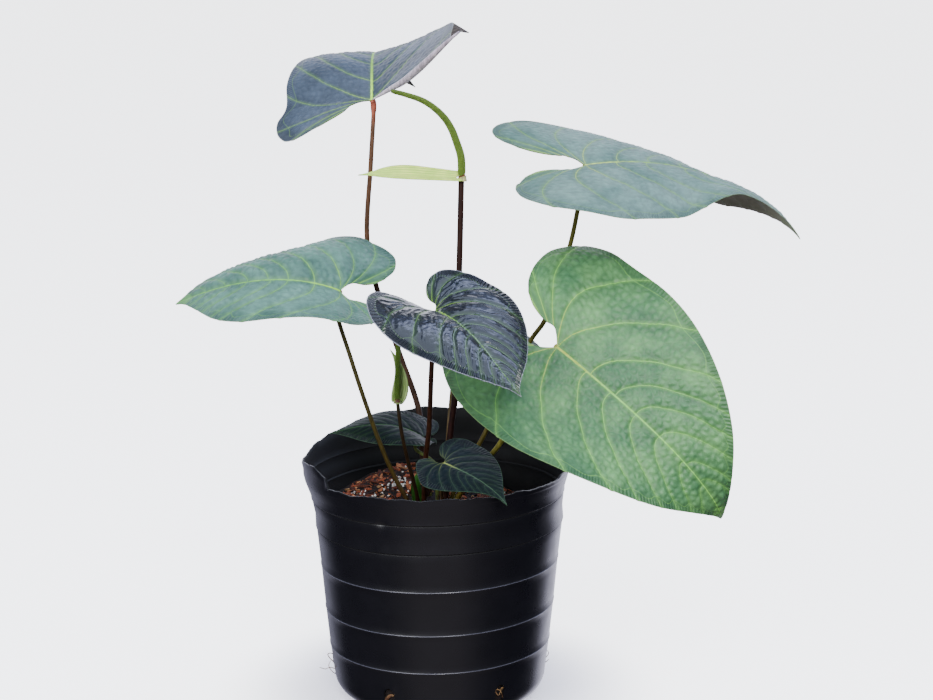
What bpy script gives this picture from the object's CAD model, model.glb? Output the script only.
import math

import bpy
import numpy as np
from mathutils.geometry import delaunay_2d_cdt
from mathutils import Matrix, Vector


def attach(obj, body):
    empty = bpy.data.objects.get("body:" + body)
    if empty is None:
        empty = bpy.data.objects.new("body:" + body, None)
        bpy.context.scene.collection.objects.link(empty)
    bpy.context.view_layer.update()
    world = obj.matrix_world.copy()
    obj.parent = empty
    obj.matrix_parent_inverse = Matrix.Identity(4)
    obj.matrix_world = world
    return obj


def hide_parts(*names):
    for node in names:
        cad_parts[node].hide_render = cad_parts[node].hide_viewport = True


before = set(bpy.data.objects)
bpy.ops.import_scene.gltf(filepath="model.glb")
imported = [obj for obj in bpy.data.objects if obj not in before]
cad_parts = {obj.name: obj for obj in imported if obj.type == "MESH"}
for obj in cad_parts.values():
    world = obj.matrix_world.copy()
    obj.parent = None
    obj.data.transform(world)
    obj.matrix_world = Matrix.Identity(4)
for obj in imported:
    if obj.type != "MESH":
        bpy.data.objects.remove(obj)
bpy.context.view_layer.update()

# The studio: the camera stands a little above the plant and looks down on it. A wide bowl
# that only the camera sees glows a plain white. The light comes from a sky that is brighter
# behind the plant and has one bright box, a wide lamp overhead, and two lamps in front.
MM = 0.001
CAMERA = {"at": (16.9, -1179.4, 458.4), "pitch": -11.5, "lens": 75.24, "sensor": 36}
BOWL = {"middle": 300, "floor": 2600, "corner": 1800, "turns": 10, "top": 6500, "sides": 64}
BOWL_GLOW = {"near": (0.78, 0.77, 0.92, 1), "far": (3.2, 3.2, 3.2, 1), "ends": (0.066, 0.15)}
LAMPS = {
    "overhead": {
        "at": (150, -300, 1900), "to": (0, 0, 250), "size": 1900, "watts": 20, "tint": (0.72, 0.84, 1),
    },
    "front": {"at": (250, -1900, 1500), "to": (0, 0, 230), "size": 900, "watts": 38, "tint": (1, 1, 1)},
    "fill": {"at": (-1000, -1400, 900), "to": (0, 0, 260), "size": 1000, "watts": 22, "tint": (1, 1, 1)},
}
SKY = {
    "above": (0.36, 0.42, 0.56, 1), "level": (-0.04, 0.3),
    "ahead": (0.3, 0.27, 0.29, 1), "aside": (0.012, 0.013, 0.03, 1), "width": (0.25, 0.75),
    "behind": (2.1, 2.08, 2.6, 1), "behind_left": (0.6, 0.6, 0.8, 1),
    "sides": (-0.3, 0.1), "depth": (0.45, 0.8),
    "band": (2.1, 2.15, 2.5, 1), "turn": (0.5, 0.72), "band_top": (0.46, 0.6),
    "box": (2.5, 2.9, 4.4, 1), "box_right": (-0.05, 0.12), "box_front": (0.3, 0.38), "box_back": (0.52, 0.6),
}


def colour(code):
    """A web colour, such as 0x1B1B21, as a linear RGBA colour."""
    shares = [(code >> shift & 255) / 255 for shift in (16, 8, 0)]
    return (*(s / 12.92 if s <= 0.04045 else ((s + 0.055) / 1.055) ** 2.4 for s in shares), 1.0)


def feed(made, values):
    """Gives a node's inputs their values; a value is a number, a colour or a socket."""
    for name, value in values.items():
        if isinstance(value, bpy.types.NodeSocket):
            made.id_data.links.new(value, made.inputs[name])
        else:
            made.inputs[name].default_value = value


def add(tree, kind, values=None, **settings):
    """Adds a node with its inputs and settings, and returns its outputs."""
    made = tree.nodes.new(kind)
    for name, value in settings.items():
        setattr(made, name, value)
    feed(made, values or {})
    return made.outputs


def fade(tree, value, near, far, low=1.0, high=0.0):
    """A smooth change from low to high while the value goes from near to far."""
    ends = {"Value": value, "From Min": near, "From Max": far, "To Min": low, "To Max": high}
    return add(tree, "ShaderNodeMapRange", ends, interpolation_type="SMOOTHSTEP")[0]


def rise(tree, value, near, far):
    """A smooth change from 0 to 1 while the value goes from near to far."""
    return fade(tree, value, near, far, 0.0, 1.0)


def mix(tree, share, first, second):
    """A blend of two colours."""
    return add(tree, "ShaderNodeMix", {0: share, 6: first, 7: second}, data_type="RGBA")[2]


def calc(tree, operation, *terms):
    """One sum on numbers or sockets."""
    return add(tree, "ShaderNodeMath", dict(enumerate(terms)), operation=operation)[0]


def material(name, roughness=0.5, **sockets):
    """A new material with one principled shader, and its node tree and shader."""
    made = bpy.data.materials.new(name)
    made.use_nodes = True
    shader = made.node_tree.nodes["Principled BSDF"]
    feed(shader, {"Roughness": roughness, **{key.replace("_", " "): value for key, value in sockets.items()}})
    return made, made.node_tree, shader


def in_scene(name, data):
    """A new object in the scene that holds the data."""
    made = bpy.data.objects.new(name, data)
    bpy.context.scene.collection.objects.link(made)
    return made


def mesh_object(name, points, faces, finish, sharp=40):
    """A smooth-shaded mesh object from points in millimetres, with sharp edges kept."""
    mesh = bpy.data.meshes.new(name)
    mesh.from_pydata(np.asarray(points) * MM, [], faces)
    mesh.validate()
    mesh.shade_smooth()
    mesh.set_sharp_from_angle(angle=math.radians(sharp))
    mesh.materials.append(finish)
    return in_scene(name, mesh)


def turned(profile, sides):
    """Points and faces of a profile of (height, radius) turned round Z, closed at its ends."""
    angles = np.arange(sides) * 2 * math.pi / sides
    points = [(0, 0, profile[0][0])]
    for height, radius in profile[1:-1]:
        points += [(radius * math.sin(a), -radius * math.cos(a), height) for a in angles]
    points.append((0, 0, profile[-1][0]))
    rings, last = len(profile) - 2, len(points) - 1
    faces = []
    for k in range(sides):
        after = (k + 1) % sides
        faces.append((0, 1 + after, 1 + k))
        for ring in range(rings - 1):
            low, high = 1 + ring * sides, 1 + (ring + 1) * sides
            faces.append((low + k, low + after, high + after, high + k))
        faces.append((last, 1 + (rings - 1) * sides + k, 1 + (rings - 1) * sides + after))
    return np.array(points, float), faces


def spot(tree, stretch=None):
    """Where a point lies on its own object, in metres, or that times a stretch."""
    where = add(tree, "ShaderNodeTexCoord")["Object"]
    return add(tree, "ShaderNodeMapping", {"Vector": where, "Scale": stretch})[0] if stretch else where


bowl_white, tree, shader = material("bowl_white", 0.9)
away = add(tree, "ShaderNodeVectorMath", {0: spot(tree)}, operation="LENGTH")["Value"]
glow = mix(tree, rise(tree, away, *BOWL_GLOW["ends"]), BOWL_GLOW["near"], BOWL_GLOW["far"])
feed(shader, {"Base Color": colour(0xE8E8EE), "Emission Color": glow, "Emission Strength": 1.0})
turns = np.linspace(0, math.pi / 2, BOWL["turns"])
profile = [(0, 0), (0, BOWL["middle"])]
profile += [(BOWL["corner"] * (1 - math.cos(a)), BOWL["floor"] + BOWL["corner"] * math.sin(a)) for a in turns]
profile += [(BOWL["top"], BOWL["floor"] + BOWL["corner"]), (BOWL["top"], 0)]
bowl = mesh_object("studio_bowl", *turned(profile, BOWL["sides"]), bowl_white)
for rays in ("diffuse", "glossy", "transmission", "shadow"):
    setattr(bowl, f"visible_{rays}", False)

camera = in_scene("camera", bpy.data.cameras.new("camera"))
camera.data.lens = CAMERA["lens"]
camera.data.sensor_width = CAMERA["sensor"]
camera.location = [c * MM for c in CAMERA["at"]]
camera.rotation_euler = (math.radians(90 + CAMERA["pitch"]), 0, 0)
bpy.context.scene.camera = camera

for name, lamp in LAMPS.items():
    light = bpy.data.lights.new(name, "AREA")
    light.shape = "RECTANGLE"
    light.size = light.size_y = lamp["size"] * MM
    light.energy = lamp["watts"]
    light.color = lamp["tint"]
    made = in_scene(name, light)
    made.location = [c * MM for c in lamp["at"]]
    way = [(b - a) * MM for a, b in zip(lamp["at"], lamp["to"])]
    made.rotation_euler = Vector(way).to_track_quat("-Z", "Y").to_euler()

world = bpy.data.worlds.new("studio")
bpy.context.scene.world = world
world.use_nodes = True
tree = world.node_tree
way = add(tree, "ShaderNodeSeparateXYZ", {0: add(tree, "ShaderNodeTexCoord")["Generated"]})
wide = rise(tree, calc(tree, "ABSOLUTE", way["X"]), *SKY["width"])
low = mix(tree, wide, SKY["ahead"], SKY["aside"])
behind = mix(tree, rise(tree, way["X"], *SKY["sides"]), SKY["behind_left"], SKY["behind"])
low = mix(tree, rise(tree, way["Y"], *SKY["depth"]), low, behind)
band = calc(tree, "MULTIPLY", rise(tree, way["Y"], *SKY["turn"]), fade(tree, way["Z"], *SKY["band_top"]))
above = mix(tree, band, SKY["above"], SKY["band"])
box = calc(tree, "MULTIPLY", rise(tree, way["Y"], *SKY["box_front"]), fade(tree, way["Y"], *SKY["box_back"]))
box = calc(tree, "MULTIPLY", box, rise(tree, way["X"], *SKY["box_right"]))
above = mix(tree, box, above, SKY["box"])
feed(tree.nodes["Background"], {"Color": mix(tree, rise(tree, way["Z"], *SKY["level"]), low, above)})

# The pot: a round nursery pot, blown in black plastic, with thin raised moulding lines, a
# step-in collar, a rim trimmed by hand that runs up and down and ends in a torn flap at the
# left front, and six drain slots with arched tops at the foot.
POT = {
    "base_radius": 54, "corner": (13, 14), "corner_turns": (0, 12, 24, 34, 46, 57, 68, 79, 90), "wall": 1.5,
    "columns": 240, "row": 4.6, "shoulder": [(17.8, 67.5), (21.5, 67.95), (26, 68.5)],
    "seams": [(33.7, 69.5), (58.2, 72), (86.2, 74.5)], "seam": (0.45, 0.32, 0.05),
    "step": [(109.2, 77.0), (110, 76.8), (110.8, 77.6), (119, 77.4)],
    "ring": [(127.6, 78.7), (128.4, 78.5), (129.3, 79.3), (131, 79.2)],
    "collar": [(140.2, 82.2), (141, 82.4), (141.8, 82.5)], "collar_top": 141, "lip": 0.5,
    "rim": [(154.4, 83.6), (155, 83.3)], "rim_wall": 0.55, "rim_rows": (145, 150), "rim_inset": 0.6,
    "tilt": 0.03, "tilt_from": 40, "lean": -2.4, "lean_from": 111,
}
POT_LOOK = {
    "dull_inside": -0.8, "dull": (-1.0, -0.2), "dull_rough": 0.85, "cloud": (30, 4),
    "scuff": (90, 3), "scuffed": (0.35, 0.7, 0.27, 0.33), "ripple": (1, 3), "ripple_stretch": (60, 60, 9),
    "relief": (0.05, 0.0005),
}
RIM = {"mean": 151.4, "front": -8.6, "right": -1.3, "across": 3.1, "ragged": 0.7, "waves": (17, 5.3)}
FLAP = {"angle": -65, "rise": 10, "width": 18, "torn": -51}
NIBBLES = {"height": 0.35, "waves": (61, 97)}
DENT = {"angle": -24.3, "height": 128.6, "spread": (2.2, 1.6), "depth": 1.1}
SLOTS = {"count": 6, "first": -26.5, "half": 2, "bottom_row": 3, "top": 21.5, "arch": {2: 3.0, 1: 0.7}}


def rim_height(angle):
    """Height of the trimmed rim; the angle is measured from the front towards +x."""
    fine, coarse = RIM["waves"]
    turn = np.degrees(angle)
    flap = FLAP["rise"] * np.exp(-((turn - FLAP["angle"]) / FLAP["width"]) ** 2) * (turn < FLAP["torn"])
    low, high = NIBBLES["waves"]
    nibbles = NIBBLES["height"] * np.sin(low * angle) * np.cos(high * angle)
    return (RIM["mean"] + RIM["front"] * np.cos(angle) + RIM["right"] * np.sin(angle)
            + RIM["across"] * np.cos(2 * angle) + flap + nibbles
            + RIM["ragged"] * np.sin(angle * fine) * np.cos(angle * coarse))


def out_of_true(points, trimmed):
    """Leans and tilts a true round body as the pot is; a trimmed one also gets its rim."""
    x, y, z = np.asarray(points, float).T
    collar, rim = POT["collar_top"], POT["rim"][-1][0]
    above = (z - collar) / (rim - collar)
    if trimmed:
        z = np.where(above > 0, collar + above * (rim_height(np.arctan2(x, -y)) - collar), z)
    x = x + POT["lean"] * np.maximum(0, (z - POT["lean_from"]) / (rim - POT["lean_from"]))
    z = z + POT["tilt"] * x * np.minimum(1, z / POT["tilt_from"])
    return np.stack([x, y, z], -1)


def wall_rows():
    """Height and radius of every row of the wall: the outside's, then the inside's."""
    radius, height = POT["corner"]
    wall, base = POT["wall"], POT["base_radius"]
    rows = []
    for turn in np.radians(POT["corner_turns"]):
        up, out = math.cos(turn), math.sin(turn)
        inside = (height - (height - wall) * up, base + (radius - wall) * out)
        rows.append((height * (1 - up), base + radius * out, *inside))
    half, proud, after = POT["seam"]
    seams = [[(z - half, r), (z, r + proud), (z + half, r + after)] for z, r in POT["seams"]]
    outside = [*POT["shoulder"], *sum(seams, []), *POT["step"], *POT["ring"], *POT["collar"]]
    for z, r in outside:
        last = rows[-1]
        lip = POT["lip"] if z == POT["collar_top"] else 0
        stretch = max(1, math.ceil((z - last[0]) / POT["row"]))
        for share in np.arange(1, stretch + 1) / stretch:
            rows.append(tuple(np.array(last) * (1 - share) + np.array((z, r, z, r - wall - lip)) * share))
    (low, r), (high, top) = POT["rim"]
    under = r - POT["rim_inset"]
    rows += [(z, under, z, under - wall) for z in POT["rim_rows"]]
    return [*rows, (low, r, low, r - wall), (high, top, high, top - POT["rim_wall"])]


def double_wall(rows, columns, first):
    """Points of the wall, outside and inside, with the slots' tops arched and one dent."""
    angles = np.radians(first + np.arange(columns) * 360 / columns)
    table = np.array(rows)
    grid = np.array([[[(r * math.sin(a), -r * math.cos(a), z) for a in angles] for z, r in side]
                     for side in (table[:, :2], table[:, 2:])])
    top = slot_rows(rows)[1]
    for slot in range(SLOTS["count"]):
        centre = slot * columns // SLOTS["count"]
        for off, drop in SLOTS["arch"].items():
            for side in (-off, off):
                grid[:, top, (centre + side) % columns, 2] -= drop
    x, y, z = np.moveaxis(grid, -1, 0)
    turn = (np.degrees(np.arctan2(x, -y)) - DENT["angle"]) / DENT["spread"][0]
    rise = (z - DENT["height"]) / DENT["spread"][1]
    pull = 1 - DENT["depth"] * np.exp(-turn ** 2 - rise ** 2) / POT["ring"][0][1]
    return np.stack([x * pull, y * pull, z], -1)


def slot_rows(rows):
    """The rows of the wall where the slots start and end."""
    return SLOTS["bottom_row"], next(i for i, row in enumerate(rows) if abs(row[0] - SLOTS["top"]) < 1e-6)


def wall_faces(rows, columns):
    """Faces of the double wall, its base and its rim, open at the slots."""
    size = rows * columns

    def at(side, row, column):
        return side * size + row * columns + column % columns

    low, high = slot_rows(wall_rows())
    holes = {(row, (slot * columns // SLOTS["count"] + k) % columns) for row in range(low, high)
             for slot in range(SLOTS["count"]) for k in range(-SLOTS["half"], SLOTS["half"])}
    faces = []
    for row in range(rows - 1):
        for k in range(columns):
            ring = [(row, k), (row, k + 1), (row + 1, k + 1), (row + 1, k)]
            if (row, k) not in holes:
                faces.append([at(0, *c) for c in ring])
                faces.append([at(1, *c) for c in ring[::-1]])
                continue
            beside = [(row - 1, k), (row, (k + 1) % columns), (row + 1, k), (row, (k - 1) % columns)]
            for i, cell in enumerate(beside):
                if cell not in holes:
                    a, b = ring[i], ring[(i + 1) % 4]
                    faces.append([at(0, *a), at(0, *b), at(1, *b), at(1, *a)])
    for k in range(columns):
        faces.append([at(0, rows - 1, k), at(0, rows - 1, k + 1), at(1, rows - 1, k + 1), at(1, rows - 1, k)])
        faces.append([2 * size, at(0, 0, k + 1), at(0, 0, k)])
        faces.append([2 * size + 1, at(1, 0, k), at(1, 0, k + 1)])
    return faces


def as_mesh(made):
    """The object as its modifiers leave it, with the modifiers gone."""
    depsgraph = bpy.context.evaluated_depsgraph_get()
    mesh = bpy.data.meshes.new_from_object(made.evaluated_get(depsgraph))
    name = made.name
    bpy.data.objects.remove(made)
    return in_scene(name, mesh)


def carry(made, marks):
    """Stores named values at an object's points, for its material."""
    for key, value in marks.items():
        made.data.attributes.new(key, "FLOAT", "POINT").data.foreach_set("value", value.astype(np.float32))


def place(made, node):
    """Says what a finished piece stands for, and lets it ride with the plant."""
    if node:
        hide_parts(node)
    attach(made, "root")


def attribute(tree, name):
    """A value that the object's points carry."""
    return add(tree, "ShaderNodeAttribute", attribute_name=name)["Fac"]


def noise(tree, where, scale, detail, rough=0.5):
    """Soft random clouds, mostly between 0.3 and 0.7."""
    values = {"Vector": where, "Scale": scale, "Detail": detail, "Roughness": rough}
    return add(tree, "ShaderNodeTexNoise", values)[0]


def bump(tree, height, strength, depth, **under):
    """A normal that shows a height, on top of another normal if one is given."""
    values = {"Height": height, "Strength": strength, "Distance": depth, **under}
    return add(tree, "ShaderNodeBump", values)[0]


black_plastic, tree, shader = material("black_plastic", 0.3, Specular_IOR_Level=0.5)
where = spot(tree)
worn = attribute(tree, "worn")
dull = fade(tree, worn, *POT_LOOK["dull"])
body = mix(tree, noise(tree, where, *POT_LOOK["cloud"]), colour(0x121215), colour(0x1B1A1F))
body = mix(tree, worn, mix(tree, dull, body, colour(0x040406)), colour(0x5C5C6A))
scuff = fade(tree, noise(tree, where, *POT_LOOK["scuff"]), *POT_LOOK["scuffed"])
rough = calc(tree, "MAXIMUM", scuff, calc(tree, "MULTIPLY", dull, POT_LOOK["dull_rough"]))
ripple = noise(tree, spot(tree, POT_LOOK["ripple_stretch"]), *POT_LOOK["ripple"])
relief = bump(tree, ripple, *POT_LOOK["relief"])
feed(shader, {"Base Color": body, "Roughness": rough, "Normal": relief})

rows = wall_rows()
grid = double_wall(rows, POT["columns"], SLOTS["first"])
points = np.vstack([grid.reshape(-1, 3), [(0, 0, 0), (0, 0, POT["wall"])]])
faces = wall_faces(len(rows), POT["columns"])
pot = mesh_object("nursery_pot", out_of_true(points, True), faces, black_plastic)
mark = {z: 1.0 for z, _ in POT["seams"]} | {POT["step"][1][0]: -1.0, POT["ring"][1][0]: -1.0}
worn = np.full((2, len(rows), POT["columns"]), POT_LOOK["dull_inside"])
worn[0] = [[mark.get(z, 0.0)] * POT["columns"] for z, *_ in rows]
carry(pot, {"worn": np.append(worn.ravel(), (0, 0))})
place(pot, "pot")

# The bark mix: damp red-brown bark chips and crumbs with white perlite grains, heaped at
# the back left and sunk towards the right. A dark bed fills the pot, and the loose chips,
# crumbs and grains are strewn over it by one tree.
SOIL = {
    "height": 118, "heap": 15, "heap_at": (-18, 42), "heap_spread": 35, "settle": 0.15, "lump": 0.8,
    "waves": (0.31, 0.27, 0.13, 0.17), "clear": 0.4, "shoulder": 104, "rings": 26, "edge": 74.3, "sides": 96,
}
CROWN = {"at": (-4, -5), "reach": 17, "height": 119.2}
CHIPS = {
    "bark_chips": {
        "count": 420, "apart": 3.8, "low": (4, 1.7, 0.9), "high": (12, 4.6, 2.3), "detail": 2, "seed": 5,
    },
    "bark_crumbs": {
        "count": 2200, "apart": 1.2, "low": (1.2, 0.6, 0.5), "high": (4.6, 1.7, 1.2), "detail": 1,
        "seed": 11,
    },
}
CHIP = {"slant": 0.55, "ragged": 0.0022, "proud": 0.3}
LUMP_LOOK = {"grain": (5, 0.65), "shade": (0.3, 0.68, 0.35, 1.25), "relief": 0.8}
PERLITE = {
    "clusters": [
        (-24, 25, 14, 3.4), (-31, 19, 13, 4.2), (-24, 14, 9, 3),
        (-51, 20, 4, 2), (-40, 17, 4, 5), (5, 17, 3, 5),
    ],
    "loose": 45, "apart": 3, "proud": 1.2, "room": 2, "piled": 1.5, "pile": 0.5, "ragged": 0.0011,
    "low": (0.8, 0.7, 0.6), "high": (2.3, 2, 1.7), "seed": 23,
}


def soil_height(x, y):
    """Height of the bed over the point (x, y)."""
    dx, dy = (x - SOIL["heap_at"][0]) / SOIL["heap_spread"], (y - SOIL["heap_at"][1]) / SOIL["heap_spread"]
    a, b, c, d = SOIL["waves"]
    lumps = np.sin(a * x) * np.cos(b * y) + np.sin(c * x - d * y)
    heap = SOIL["heap"] * np.exp(-dx * dx - dy * dy)
    return SOIL["height"] + heap - SOIL["settle"] * np.maximum(0, x) + SOIL["lump"] * lumps


def on_top(x, y, proud):
    """A point that lies proud of the bed, or of the stem's crown in its middle."""
    top = soil_height(x, y) + POT["tilt"] * x
    if math.hypot(x - CROWN["at"][0], y - CROWN["at"][1]) < CROWN["reach"]:
        top = CROWN["height"]
    return x, y, top + proud


def strewn(count, apart, proud, room, rng):
    """Random points on the bed that keep apart from each other and have room to the wall."""
    kept = np.empty((0, 3))
    for _ in range(count * 6):
        angle, reach = rng.uniform(0, 2 * math.pi), (SOIL["edge"] - room) * math.sqrt(rng.uniform(0, 1))
        point = on_top(reach * math.cos(angle), reach * math.sin(angle), proud)
        if len(kept) == 0 or np.linalg.norm(kept[:, :2] - point[:2], axis=1).min() > apart:
            kept = np.vstack([kept, point])
        if len(kept) == count:
            break
    return kept


def scaled(tree, vector, share):
    """A vector or a colour times a number."""
    return add(tree, "ShaderNodeVectorMath", {0: vector, "Scale": share}, operation="SCALE")[0]


def geometry_tree(name, **sockets):
    """A new geometry tree with one geometry in and out, and the named inputs."""
    tree = bpy.data.node_groups.new(name, "GeometryNodeTree")
    tree.interface.new_socket("Geometry", in_out="INPUT", socket_type="NodeSocketGeometry")
    for socket, kind in sockets.items():
        tree.interface.new_socket(socket, in_out="INPUT", socket_type=f"NodeSocket{kind}")
    tree.interface.new_socket("Mesh", in_out="OUTPUT", socket_type="NodeSocketGeometry")
    return tree, add(tree, "NodeGroupInput")


def run_tree(made, tree, **values):
    """Runs a geometry tree with its named inputs on an object, and returns a plain mesh object."""
    modifier = made.modifiers.new(tree.name, "NODES")
    modifier.node_group = tree
    for item in tree.interface.items_tree:
        if item.in_out == "INPUT" and item.name in values:
            modifier[item.identifier] = values[item.name]
    return as_mesh(made)


def scatter_tree():
    """Lumps of random size and turn on the points of a mesh, each with a tone of its own."""
    tree, inputs = geometry_tree("scatter", Smallest="Vector", Largest="Vector", Slant="Float",
                                 Ragged="Float", Detail="Int", Smooth="Bool", Seed="Int", Finish="Material")
    lump = add(tree, "GeometryNodeMeshIcoSphere", {"Radius": 0.5, "Subdivisions": inputs["Detail"]})[0]
    ends = {0: inputs["Smallest"], 1: inputs["Largest"], 8: inputs["Seed"]}
    size = add(tree, "FunctionNodeRandomValue", ends, data_type="FLOAT_VECTOR")[0]
    lean = add(tree, "ShaderNodeCombineXYZ", {0: inputs["Slant"], 1: inputs["Slant"], 2: math.pi})[0]
    back = scaled(tree, lean, -1.0)
    after = calc(tree, "ADD", inputs["Seed"], 1.0)
    turn = add(tree, "FunctionNodeRandomValue", {0: back, 1: lean, 8: after}, data_type="FLOAT_VECTOR")[0]
    lumps = add(tree, "GeometryNodeInstanceOnPoints", {"Points": inputs["Geometry"], "Instance": lump,
                                                       "Rotation": turn, "Scale": size})[0]
    tone = add(tree, "FunctionNodeRandomValue", {8: inputs["Seed"]}, data_type="FLOAT")[1]
    toned = add(tree, "GeometryNodeStoreNamedAttribute", {"Geometry": lumps, "Name": "tone", "Value": tone},
                data_type="FLOAT", domain="INSTANCE")[0]
    real = add(tree, "GeometryNodeRealizeInstances", {"Geometry": toned})[0]
    clouds = add(tree, "ShaderNodeTexNoise", {"Scale": 330.0, "Detail": 1.0})["Color"]
    centred = add(tree, "ShaderNodeVectorMath", {0: clouds, 1: (0.5, 0.5, 0.5)}, operation="SUBTRACT")[0]
    push = scaled(tree, centred, inputs["Ragged"])
    ragged = add(tree, "GeometryNodeSetPosition", {"Geometry": real, "Offset": push})[0]
    shading = {"Geometry": ragged, "Shade Smooth": inputs["Smooth"]}
    shaded = add(tree, "GeometryNodeSetShadeSmooth", shading)[0]
    done = add(tree, "GeometryNodeSetMaterial", {"Geometry": shaded, "Material": inputs["Finish"]})[0]
    add(tree, "NodeGroupOutput", {"Mesh": done})
    return tree


def points_object(name, points):
    """A mesh of loose points, in millimetres."""
    mesh = bpy.data.meshes.new(name)
    mesh.from_pydata(np.asarray(points) * MM, [], [])
    return in_scene(name, mesh)


def toned_finish(name, tones, rough, scale, depth):
    """Rough finish whose lumps go through the tones, each darker in its hollows."""
    made, tree, shader = material(name, rough)
    grain = noise(tree, spot(tree), scale, *LUMP_LOOK["grain"])
    ramp = tree.nodes.new("ShaderNodeValToRGB")
    feed(ramp, {0: attribute(tree, "tone")})
    stops = ramp.color_ramp.elements
    for number, (share, code) in enumerate(tones):
        stop = stops[number] if number < 2 else stops.new(share)
        stop.position, stop.color = share, colour(code)
    body = scaled(tree, ramp.outputs[0], fade(tree, grain, *LUMP_LOOK["shade"]))
    feed(shader, {"Base Color": body, "Normal": bump(tree, grain, LUMP_LOOK["relief"], depth)})
    return made


bark_tones = [(0, 0x1A0B07), (1, 0xB89468), (0.4, 0x5E2C16), (0.75, 0xA45230), (0.93, 0xC88458)]
damp_bark = toned_finish("damp_bark", bark_tones, 0.8, 420.0, 0.001)
perlite_white = toned_finish("perlite_white", [(0, 0xE8E6E0), (1, 0xFCFBF8)], 0.85, 900.0, 0.0004)

inset = SOIL["clear"]
profile = [(POT["wall"] + inset, 0)]
profile += [(z + inset * (z < POT["corner"][1]), r - inset) for _, _, z, r in rows if z < SOIL["shoulder"]]
profile += [(SOIL["height"], SOIL["edge"] * (1 - k / SOIL["rings"])) for k in range(SOIL["rings"])]
profile.append((SOIL["height"], 0))
points, faces = turned(profile, SOIL["sides"])
top = points[:, 2] > SOIL["height"] - 1
points[top, 2] = soil_height(points[top, 0], points[top, 1])
bed = mesh_object("bark_bed", out_of_true(points, False), faces, damp_bark)
place(bed, "bark_mix")

scatter = scatter_tree()
for name, chip in CHIPS.items():
    rng = np.random.default_rng(chip["seed"])
    spots = strewn(chip["count"], chip["apart"], CHIP["proud"], chip["high"][0] / 2, rng)
    low, high = ([c * MM for c in chip[key]] for key in ("low", "high"))
    made = run_tree(points_object(name, spots), scatter, Smallest=low, Largest=high, Slant=CHIP["slant"],
                    Ragged=CHIP["ragged"], Detail=chip["detail"], Smooth=False, Seed=chip["seed"],
                    Finish=damp_bark)
    place(made, None)

rng = np.random.default_rng(PERLITE["seed"])
spots = [*strewn(PERLITE["loose"], PERLITE["apart"], PERLITE["proud"], PERLITE["room"], rng)]
for x, y, count, spread in PERLITE["clusters"]:
    shifts = rng.normal(0, (spread, spread, PERLITE["pile"]), (count, 3))
    spots += [on_top(x + dx, y + dy, PERLITE["piled"] + up) for dx, dy, up in shifts]
low, high = ([c * MM for c in PERLITE[key]] for key in ("low", "high"))
made = run_tree(points_object("perlite", spots), scatter, Smallest=low, Largest=high, Slant=math.pi,
                Ragged=PERLITE["ragged"], Detail=2, Smooth=True, Seed=PERLITE["seed"], Finish=perlite_white)
place(made, None)

# The leaves: leathery heart-shaped blades on long petioles. Each is one bent sheet, quilted
# between pale sunken veins that arch ahead to a vein along the crimped margin.
HEART = np.array([
    (1, 0), (0.93, 0.035), (0.83, 0.12), (0.69, 0.245), (0.52, 0.35), (0.34, 0.42), (0.17, 0.457),
    (0, 0.465), (-0.13, 0.445), (-0.225, 0.395), (-0.29, 0.31), (-0.315, 0.22), (-0.3, 0.14), (-0.25, 0.085),
])
SINUS = np.array([
    (-0.25, 0.085), (-0.19, 0.055), (-0.13, 0.045), (-0.09, 0.05), (-0.06, 0.05), (-0.03, 0.03), (0, 0),
])
BEYOND = (-0.2, 0.03)
SWELL = {"spacing": 3, "reach": 1.7}
TURN_LENGTH = 0.3
STEPS = 24
INNER_STEPS = 8
RIB_LENGTH, RIB_STEPS = 1.05, 211
SHEET = {"half": 0.6, "behind": -0.4, "ahead": 1.02, "clear": 0.55, "fewest": 8, "fewest_inner": 4}
PLAIN_LEAF = {
    "width": (1, 1), "lobe": (1, 1), "spread": (0, 0), "swell": ((0, 0, 0, 0), (0, 0, 0, 0)),
    "droop": (0, 0, 0), "sway": 0, "twist": 0, "lobe_droop": (0.1, 0.1),
    "turn": (0, 0, 0), "full": (0, 0, 1, 0),
}
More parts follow.
